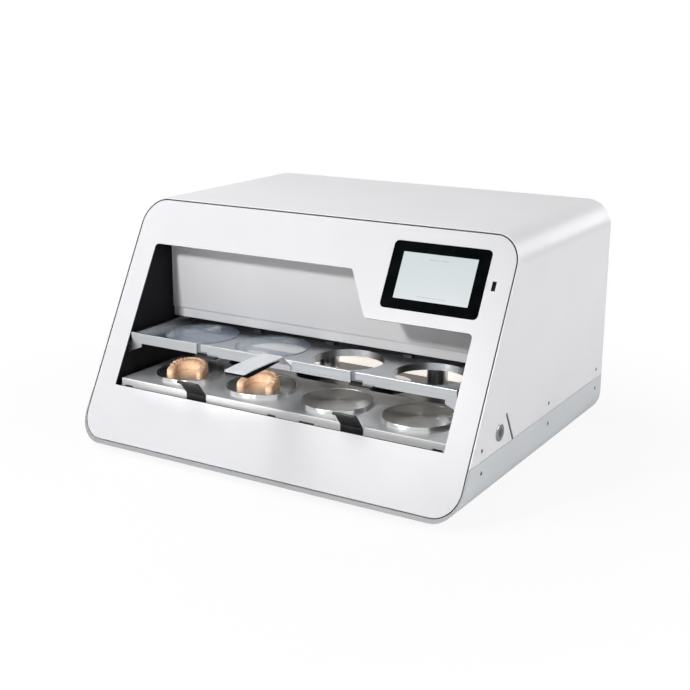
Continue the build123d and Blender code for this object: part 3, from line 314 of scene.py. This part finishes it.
def base_paint():
    """Pale grey, and darker on the folded rim that shows under the front panel, as painted shade.
    """
    finish = powder_coat("base_paint", base_colour, 0.42)
    rim = 1.0 - behind_front(finish).step(*rim_shade_edge)
    finish.set(Base_Color=finish.mix(rim, finish.fed("Base Color"), rim_shade_colour))
    return finish


wear(hood_paint(), "hood_shell")
wear(base_paint(), "base_shell")
wear(powder_coat("back_paint", hood_colour, 0.42), "back_panel")

# Feet: turned rubber pads, screwed up into the base. Their skin is dull and a little dusty.
foot_colour = (0.022, 0.022, 0.023)


def moulded(name, colour, rough, grain=900.0, depth=0.00003, coat=0.0, shine=0.5):
    """Plastic or rubber from a tool: a fine grained skin with slightly uneven gloss."""
    finish = Finish(name, Coat_Weight=coat, Specular_IOR_Level=shine)
    cloud = finish.noise(40.0, detail=3.0)
    pale = tuple(min(1.0, part * 1.3 + 0.003) for part in colour)
    finish.set(Base_Color=finish.mix(cloud.step(0.35, 0.8), colour, pale))
    finish.set(Roughness=cloud * 0.14 + (rough - 0.07))
    finish.bump(finish.noise(grain, detail=3.0), depth)
    return finish


wear(moulded("foot_rubber", foot_colour, 0.85), "rubber_feet")

# Chassis: aluminium tubes carry the floor and the liners. Zinc plated strips behind the seam
# take the screws that hold the hood and the base together.
long_ways = {"x": (0.02, 1.0, 1.0), "y": (1.0, 0.02, 1.0), "z": (1.0, 1.0, 0.02)}
hair_scale = 2600.0


def brushed(name, colour, rough, along, lean=0.12, streak=0.12, metal=1.0):
    """Metal with a straight grain: it spreads what it mirrors across the grain only."""
    finish = Finish(name, Metallic=metal)
    fine = finish.noise(hair_scale, long_ways[along], detail=1.0)
    broad = finish.noise(240.0, long_ways[along], detail=4.0, rough=0.65)
    slope = (fine - 0.5) * (2.0 * lean)
    sides = [0.0 if axis == along else slope for axis in "xyz"]
    finish.tilt(*sides)
    dark = tuple(part * (1.0 - streak) for part in colour)
    finish.set(Base_Color=finish.mix(broad.step(0.3, 0.7), dark, colour))
    finish.set(Roughness=broad * 0.12 + (rough - 0.06))
    return finish


wear(brushed("frame_metal", (0.56, 0.57, 0.59), 0.42, "x"), "chassis_frame")
wear(brushed("strip_zinc", (0.58, 0.59, 0.61), 0.36, "y"), "join_strips")
wear(brushed("screw_zinc", (0.13, 0.13, 0.14), 0.35, "z"), "casing_screws")

# Chamber: black coated side liners, an anodised floor and the pale cover at the back. A pale
# baffle closes the process station off from the stores. Its lower part carries painted light, a
# glow as if a lamp lit it, and its upper part is painted black as painted shade.
liner_black = moulded("liner_black", (0.005, 0.005, 0.007), 0.6, shine=0.15)
wear(liner_black, "left_inner_wall", "right_inner_wall", "side_slot_liner")
wear(brushed("floor_anodised", (0.10, 0.105, 0.11), 0.35, "x"), "chamber_floor")
wear(powder_coat("cover_paint", (0.94, 0.93, 0.94), 0.40), "rear_cover")
baffle_painted_shade = (0.008, 0.008, 0.008)
baffle_pale = (0.80, 0.78, 0.73)
baffle_bright = (1.0, 0.93, 0.84)
baffle_dim = (0.86, 0.81, 0.74)
baffle_edge = (0.172, 0.178)


# Painted light: the lower part glows though no lamp is there. Painted shade: the upper part is
# black.
def baffle_painted_glow():
    finish = Finish("baffle_painted_glow", Roughness=0.45, Emission_Strength=1.0)
    lit = 1.0 - finish.axis("Z").step(*baffle_edge)
    light = finish.mix(finish.noise(5.0, detail=2.0), baffle_bright, baffle_dim)
    finish.set(Base_Color=finish.mix(lit, baffle_painted_shade, baffle_pale))
    finish.set(Emission_Color=finish.mix(lit, (0.0, 0.0, 0.0), light))
    return finish


wear(baffle_painted_glow(), "rear_baffle")

# Rails: folded aluminium on each liner. The upper pair has a gusset at its front end.
wear(brushed("rail_metal", (0.60, 0.60, 0.65), 0.38, "y"), "tray_rails")

# Lift frame: a milled plate under the floor, with ground rods and the heads that raise the
# discs. Two drawn cylinders pull it up.
plate_metal = brushed("plate_metal", (0.64, 0.65, 0.67), 0.30, "x")
rod_steel = brushed("rod_steel", (0.68, 0.69, 0.71), 0.14, "z", lean=0.03)
cylinder_metal = brushed("cylinder_metal", (0.60, 0.61, 0.63), 0.32, "z")
wear(plate_metal, "lift_plate")
wear(rod_steel, "lift_rods")
wear(cylinder_metal, "lift_cylinders")

# Lower tray: folded aluminium with a satin face. Its front lip is bead blasted, so that it
# scatters the light from the room where the face mirrors the chamber.
model_tray_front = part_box("model_tray")[0].y
lip_depth = 0.0012
lip_colour = (0.95, 0.95, 0.95)
tray_metal = 0.7


def lower_tray_finish():
    finish = Finish("lower_tray_metal")
    lip = 1.0 - (finish.axis("Y") - model_tray_front).step(lip_depth, lip_depth * 2.0)
    grain = finish.noise(hair_scale, long_ways["x"], detail=1.0)
    broad = finish.noise(160.0, long_ways["x"], detail=4.0, rough=0.65)
    slope = (grain - 0.5) * 0.24
    finish.tilt(0.0, slope, slope)
    face = finish.mix(broad.step(0.2, 0.8), (0.83, 0.84, 0.86), (0.88, 0.89, 0.91))
    finish.set(Base_Color=finish.mix(lip, face, lip_colour))
    finish.set(Metallic=tray_metal - lip * tray_metal)
    finish.set(Roughness=broad * 0.04 + 0.28 + lip * 0.3)
    return finish


wear(lower_tray_finish(), "model_tray")


# Discs: aluminium faced on a lathe. The fine rings spread what they mirror into rays that turn
# with the viewer, and the narrow rim is polished.
rim_radius = 0.060
ring_scale = 5200.0
groove_scale = 420.0
disc_colour = (0.84, 0.84, 0.82)


def turned(name, colour, rough, centre, lean):
    """Metal with round grooves about a centre."""
    finish = Finish(name, Metallic=1.0)
    across = finish.axis("X") - centre.x
    along = finish.axis("Y") - centre.y
    radius = (across * across + along * along) ** 0.5
    one_way = {"noise_dimensions": "1D"}
    ring = finish.node("TexNoise", one_way, W=radius, Scale=ring_scale, Detail=1.0)
    groove = finish.node("TexNoise", one_way, W=radius, Scale=groove_scale, Detail=3.0)
    slope = (ring - 0.5) * (2.0 * lean)
    finish.tilt(across / (radius + 0.0001) * slope, along / (radius + 0.0001) * slope, 0.0)
    dark = tuple(part * 0.84 for part in colour)
    finish.set(Base_Color=finish.mix(groove.step(0.3, 0.7), dark, colour))
    rim = (radius - rim_radius).step(-0.0002, 0.0002)
    finish.set(Roughness=groove * 0.10 + (rough - 0.05) - rim * (rough - 0.10))
    return finish


station_centres = {}
for number in range(1, 5):
    low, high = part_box(f"model_plate_{number}")
    station_centres[number] = (low + high) / 2
    disc_metal = turned(f"disc_metal_{number}", disc_colour, 0.24, station_centres[number], 0.42)
    wear(disc_metal, f"model_plate_{number}")

# Plaster casts: a dental arch poured in tan stone, ground flat below and round its outer side.
# It stands lower towards its two arms, with a row of teeth along the ridge. The stone is dull, in
# clouds of tan and pale, with browner patches.
arch_middle = 0.0285
arch_leg = 0.0166
arch_half = 0.0074
arch_stations = 48
arch_shift = Vector((0.002, -0.009, 0.0))
arch_turns = {1: math.radians(17), 2: math.radians(6)}
arm_rise = 0.0078
back_rise = 0.0150
gum_shift = 0.0004
gum_width = 0.86
gum_round = 0.0026
tooth_shift = 0.0012
crown_swing = 0.09
turn_swing = 0.12
lean_swing = 0.16
stone_voxel = 0.0007
stone_tan = (0.86, 0.52, 0.32)
stone_pale = (0.94, 0.66, 0.46)
stone_brown = (0.60, 0.34, 0.17)
# Each pair of teeth, from the middle of the arch: its place along one half of the arch from 0 to
# 1, then half its width, half its thickness and its height over the ridge.
teeth_pairs = [
    (0.055, 0.0040, 0.0026, 0.0058),
    (0.165, 0.0034, 0.0026, 0.0054),
    (0.270, 0.0035, 0.0032, 0.0062),
    (0.380, 0.0035, 0.0038, 0.0052),
    (0.490, 0.0035, 0.0040, 0.0050),
    (0.625, 0.0048, 0.0046, 0.0048),
    (0.790, 0.0048, 0.0047, 0.0044),
]


def arch_point(share, radius):
    """A point and a heading at a share from -1 to 1 along the arch, leg tip to leg tip."""
    quarter = math.pi / 2 * arch_middle
    run = abs(share) * (quarter + arch_leg)
    side = -1.0 if share < 0 else 1.0
    if run <= quarter:
        angle = math.pi / 2 - side * run / arch_middle
        return Vector((radius * math.cos(angle), radius * math.sin(angle), 0.0)), angle
    angle = math.pi / 2 - side * math.pi / 2
    return Vector((side * radius, quarter - run, 0.0)), angle


def arch_rise(share):
    """How high the gum stands at a share along the arch."""
    return arm_rise + (back_rise - arm_rise) * math.cos(share * math.pi / 2) ** 0.6


def cast_stone():
    finish = Finish("cast_stone")
    cloud = finish.noise(90.0, detail=4.0, rough=0.6)
    patch = finish.noise(260.0, detail=3.0)
    colour = finish.mix(cloud.step(0.30, 0.68), stone_tan, stone_pale)
    finish.set(Base_Color=finish.mix(patch.step(0.52, 0.78) * 0.4, colour, stone_brown))
    finish.set(Roughness=cloud * 0.1 + 0.78, Specular_IOR_Level=0.25)
    finish.bump(finish.noise(1400.0, detail=4.0) + cloud, 0.00012)
    return finish


stone = cast_stone()


def plaster_cast(number):
    """One arch: rounds of gum and a tooth wherever one stands, grown into a single skin."""
    centre = station_centres[number]
    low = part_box(f"plaster_cast_{number}")[0]
    spot = Matrix.Translation(Vector((centre.x, centre.y, low.z)) + arch_shift)
    spot = spot @ Matrix.Rotation(arch_turns[number], 4, "Z")
    lump = bmesh.new()
    for station in range(arch_stations + 1):
        share = station / arch_stations * 2.0 - 1.0
        rise = arch_rise(share)
        foot = arch_point(share, arch_middle)[0]
        bmesh.ops.create_cone(
            lump, cap_ends=True, segments=24, radius1=arch_half, radius2=arch_half * 0.93,
            depth=rise, matrix=spot @ Matrix.Translation(foot + Vector((0, 0, rise / 2))),
        )
        gum = arch_point(share, arch_middle + gum_shift)[0]
        bmesh.ops.create_icosphere(
            lump, subdivisions=3, radius=1.0,
            matrix=spot @ Matrix.Translation(gum + Vector((0, 0, rise)))
            @ Matrix.Diagonal((arch_half * gum_width, arch_half * gum_width, gum_round, 1.0)),
        )
    for place, half_width, half_depth, rise in teeth_pairs:
        for share in (-place, place):
            spread = 1.0 + crown_swing * math.sin(number * 5.0 + share * 23.0)
            root, angle = arch_point(share, arch_middle + tooth_shift)
            heading = angle + turn_swing * math.sin(number * 3.0 + share * 41.0)
            turn = Matrix.Rotation(heading, 4, "Z")
            lean = Matrix.Rotation(lean_swing * math.sin(number + share * 17.0), 4, "X")
            crown = rise * spread
            middle = root + Vector((0, 0, arch_rise(share) + crown / 2))
            bmesh.ops.create_cone(
                lump, cap_ends=True, segments=20, radius1=1.0, radius2=0.80, depth=2.0,
                matrix=spot @ Matrix.Translation(middle) @ turn @ lean
                @ Matrix.Diagonal((half_depth, half_width * spread, crown / 2, 1.0)),
            )
    cast_name = f"dental_arch_{number}"
    cast = bpy.data.objects.new(cast_name, bpy.data.meshes.new(cast_name))
    lump.to_mesh(cast.data)
    lump.free()
    bpy.context.scene.collection.objects.link(cast)
    grow = cast.modifiers.new("grow", "REMESH")
    grow.mode = "VOXEL"
    grow.voxel_size = stone_voxel
    grow.use_smooth_shade = True
    relax = cast.modifiers.new("relax", "SMOOTH")
    relax.factor = 0.5
    relax.iterations = 3
    grown = cast.evaluated_get(bpy.context.evaluated_depsgraph_get())
    skin = bpy.data.meshes.new_from_object(grown)
    cast.modifiers.clear()
    cast.data = skin
    for corner in cast.data.vertices:
        corner.co.z = max(corner.co.z, low.z)
    cast.data.materials.append(stone.material)
    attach(cast, f"disc_{number}")
    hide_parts(f"plaster_cast_{number}")


for number in (1, 2):
    plaster_cast(number)

# Pulls: two black powder coated strips, bent to lean out through the window, with a rolled edge.
wear(moulded("pull_black", (0.013, 0.013, 0.014), 0.42, grain=1100.0), "pull_handles")

# Upper tray: a pressed and folded aluminium plate with collars for the foils. Its face is
# satin, and it mirrors the pale cover in a soft blur.
foil_tray_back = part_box("foil_tray")[1].y
# Painted shade: a black band along the tray's rear bar, where it lies in shadow.
rear_shade_depth = 0.0055
rear_shade_black = (0.008, 0.008, 0.009)


def upper_tray_finish():
    """Satin metal, painted black along the rear bar as painted shade."""
    finish = brushed("upper_tray_metal", (0.58, 0.60, 0.62), 0.30, "x", lean=0.10)
    rear_shade = (finish.axis("Y") - (foil_tray_back - rear_shade_depth)).step(0.0, 0.0005)
    finish.set(Base_Color=finish.mix(rear_shade, finish.fed("Base Color"), rear_shade_black))
    finish.set(Metallic=1.0 - rear_shade)
    finish.set(Roughness=finish.fed("Roughness") + rear_shade * 0.3)
    return finish


wear(upper_tray_finish(), "foil_tray")


# Foils: clear thermoforming blanks, 1 mm thick with a faint blue cast, laid over two collars.
foil_deep = (0.36, 0.44, 0.56)
foil_pale = (0.54, 0.62, 0.72)


def foil_clear():
    finish = Finish("foil_clear", Coat_Weight=1.0, Coat_Roughness=0.03)
    wave = finish.noise(14.0, detail=1.0)
    finish.set(Base_Color=finish.mix(wave.step(0.35, 0.65), foil_deep, foil_pale))
    finish.set(Roughness=wave * 0.04 + 0.08, Alpha=0.50)
    finish.bump(wave, 0.0012)
    return finish


wear(foil_clear(), "foil_sheet_1", "foil_sheet_2")

# Catches and knuckles: grey cast stems on the tray's bar, with feet painted black as painted
# shade, and three black stops.
catch_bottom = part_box("frame_catches")[0].z
catch_shade_height = (0.0058, 0.0062)
catch_foot_shade = (0.006, 0.006, 0.007)


def catch_finish():
    finish = Finish("catch_finish")
    # Painted shade: the feet are painted black.
    foot = 1.0 - (finish.axis("Z") - catch_bottom).step(*catch_shade_height)
    cloud = finish.noise(60.0, detail=3.0)
    stem = finish.mix(cloud.step(0.3, 0.7), (0.25, 0.26, 0.30), (0.30, 0.31, 0.35))
    finish.set(Base_Color=finish.mix(foot, stem, catch_foot_shade))
    finish.set(Roughness=cloud * 0.12 + 0.40)
    finish.bump(finish.noise(900.0, detail=2.0), 0.00002)
    return finish


wear(catch_finish(), "frame_catches")
wear(moulded("knuckle_black", (0.018, 0.018, 0.020), 0.4), "tray_knuckles")

# Handle: a bent steel bracket on the upper tray, a black moulded grip and a satin steel cover.
wear(brushed("bracket_steel", (0.56, 0.57, 0.59), 0.30, "x"), "foil_handle_bracket")
wear(moulded("grip_black", (0.002, 0.002, 0.003), 0.42, shine=0.05), "foil_handle_grip")
wear(brushed("grip_metal", (0.88, 0.90, 0.93), 0.24, "y", lean=0.10, metal=0.2), "foil_handle_top")

# Heater: a folded steel housing with four ceramic emitters. It runs on ground rods in blocks.
wear(brushed("heater_metal", (0.52, 0.52, 0.53), 0.36, "x"), "heater_housing")
wear(moulded("ceramic", (0.80, 0.78, 0.72), 0.30), "heater_emitters")
wear(brushed("heater_rod_steel", (0.68, 0.69, 0.71), 0.14, "y", lean=0.03), "heater_rods")
wear(moulded("block_black", (0.030, 0.031, 0.033), 0.40), "rod_blocks")

# Pressure head: spun bells under a milled beam. Two cylinders under the crossbeam push it down.
wear(plate_metal, "pressure_beam", "top_crossbeam")
wear(brushed("bell_metal", (0.66, 0.67, 0.69), 0.22, "z"), "pressure_bells")
wear(rod_steel, "head_piston_rods")
wear(cylinder_metal, "head_cylinders")

# Stores at the back: a mains supply in a steel case, a painted air tank, a valve block and a
# varnished circuit board.
wear(brushed("supply_metal", (0.55, 0.56, 0.56), 0.40, "x"), "power_supply")
wear(powder_coat("tank_paint", (0.06, 0.09, 0.14), 0.35), "air_tank")
wear(brushed("valve_metal", (0.45, 0.46, 0.48), 0.35, "x"), "valve_block")
wear(moulded("board_green", (0.012, 0.10, 0.045), 0.35), "control_board")

# Back fittings: a moulded fan frame and rotor, a mains inlet with its rocker, a nickelled brass
# air coupling and a sintered bronze silencer.
fan_black = moulded("fan_black", (0.018, 0.018, 0.019), 0.45)
wear(fan_black, "fan_frame", "fan_rotor")
wear(moulded("inlet_black", (0.016, 0.016, 0.017), 0.38), "power_inlet", "switch_rocker")
wear(brushed("coupling_metal", (0.70, 0.66, 0.52), 0.22, "y"), "air_coupling")
wear(brushed("silencer_bronze", (0.50, 0.36, 0.18), 0.50, "y"), "exhaust_silencer")

# Key switch: a chromed lock body let into the right side, and its slotted core.
wear(brushed("key_chrome", (0.40, 0.40, 0.42), 0.14, "z", lean=0.04), "key_lock_body")
wear(brushed("core_chrome", (0.22, 0.22, 0.23), 0.20, "y", lean=0.04), "key_rotor")

# Front panel: one flat sheet with a whiter and finer coat than the hood's. Its cut edges and its
# back are painted dark, as painted shade for the thin dark lines round its edges.
panel_colour = (0.80, 0.80, 0.825)
panel_edge_shade = (0.02, 0.02, 0.021)
panel_shade_depth = (0.0005, 0.0009)


def panel_paint():
    finish = powder_coat("panel_white", panel_colour, 0.40, peel=0.00001)
    # Painted shade: the cut edges and the back are painted dark.
    cut_shade = behind_front(finish).step(*panel_shade_depth)
    finish.set(Base_Color=finish.mix(cut_shade, finish.fed("Base Color"), panel_edge_shade))
    return finish


wear(panel_paint(), "front_panel")

# Display: a black moulded housing behind the panel, a frame of dark glass and a lit screen.
bezel_black = (0.003, 0.004, 0.004)
wear(moulded("bezel_glass", bezel_black, 0.30, depth=0.000002, shine=0.0), "display_bezel")
wear(moulded("housing_black", (0.018, 0.018, 0.019), 0.45), "display_housing")
screen_low, screen_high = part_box("display_screen")
# Each row of marks: its height on the screen, its left end and its right end, in shares of it.
screen_rows = ((0.88, 0.36, 0.64), (0.10, 0.30, 0.70))
row_half = 0.012


def screen_glow():
    """A pale idle page: two thin grey lines of small marks, one near its top and one low down."""
    finish = Finish("screen_glow", Base_Color=(0.20, 0.22, 0.23), Roughness=0.2)
    across = (finish.axis("X") - screen_low.x) / (screen_high.x - screen_low.x)
    up = (finish.axis("Z") - screen_low.z) / (screen_high.z - screen_low.z)
    marks = finish.noise(900.0, (1.0, 0.02, 0.02), detail=1.0).step(0.46, 0.50)
    lines = 0.0
    for height, left, right in screen_rows:
        above = (up - (height - row_half)).step(0.0, 0.004)
        row = above * (1.0 - (up - (height + row_half)).step(0.0, 0.004))
        span = (across - left).step(0.0, 0.01) * (1.0 - (across - right).step(0.0, 0.01))
        lines = row * span + lines
    page = finish.mix(up, (0.82, 0.86, 0.87), (0.76, 0.84, 0.85))
    finish.set(Emission_Color=finish.mix(lines * marks * 0.5, page, (0.20, 0.22, 0.24)))
    finish.set(Emission_Strength=0.56)
    return finish


wear(screen_glow(), "display_screen")

# Port: a black moulded socket in the panel, right of the display.
wear(moulded("port_black", (0.004, 0.004, 0.004), 0.5, shine=0.1), "usb_port")
